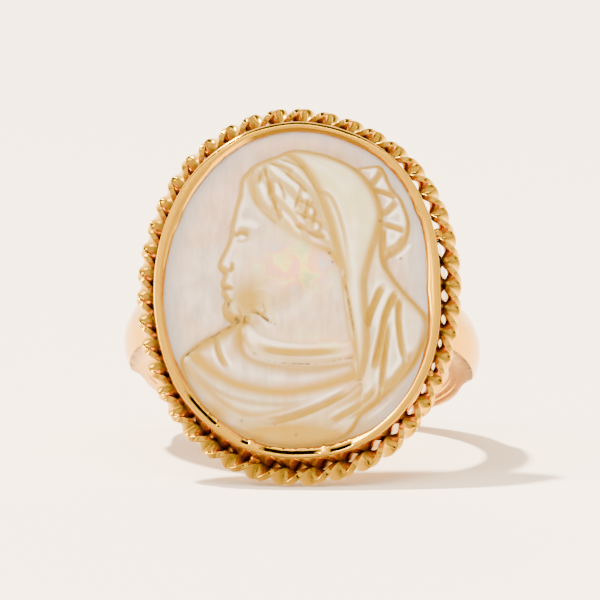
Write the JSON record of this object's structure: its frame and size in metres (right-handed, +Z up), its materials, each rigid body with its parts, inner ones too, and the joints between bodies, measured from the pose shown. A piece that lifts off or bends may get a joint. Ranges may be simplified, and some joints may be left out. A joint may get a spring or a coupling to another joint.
{
  "type": "cameo ring",
  "caption": "Gold ring with an oval bezel holding a carved shell cameo of a veiled bust, framed by a twisted strip border, on a plain domed shank.",
  "frame": {"origin": "centre of the floor under the ring, as it lies on the lower end of its head and the back of its shank", "axes": "+Z up, -Y towards the side that the head faces, +X to the right of the head seen from the front"},
  "size_m": [0.0208, 0.0236, 0.0204],
  "materials": {
    "gold": "polished yellow gold of about 14 carat, finely scratched by wear",
    "carved_shell": "carved and polished mother-of-pearl, off-white with a faint lustre, amber in the cuts"
  },
  "bodies": {
    "root": {"setting": "gold", "cameo": "carved_shell"}
  },
  "joints": []
}
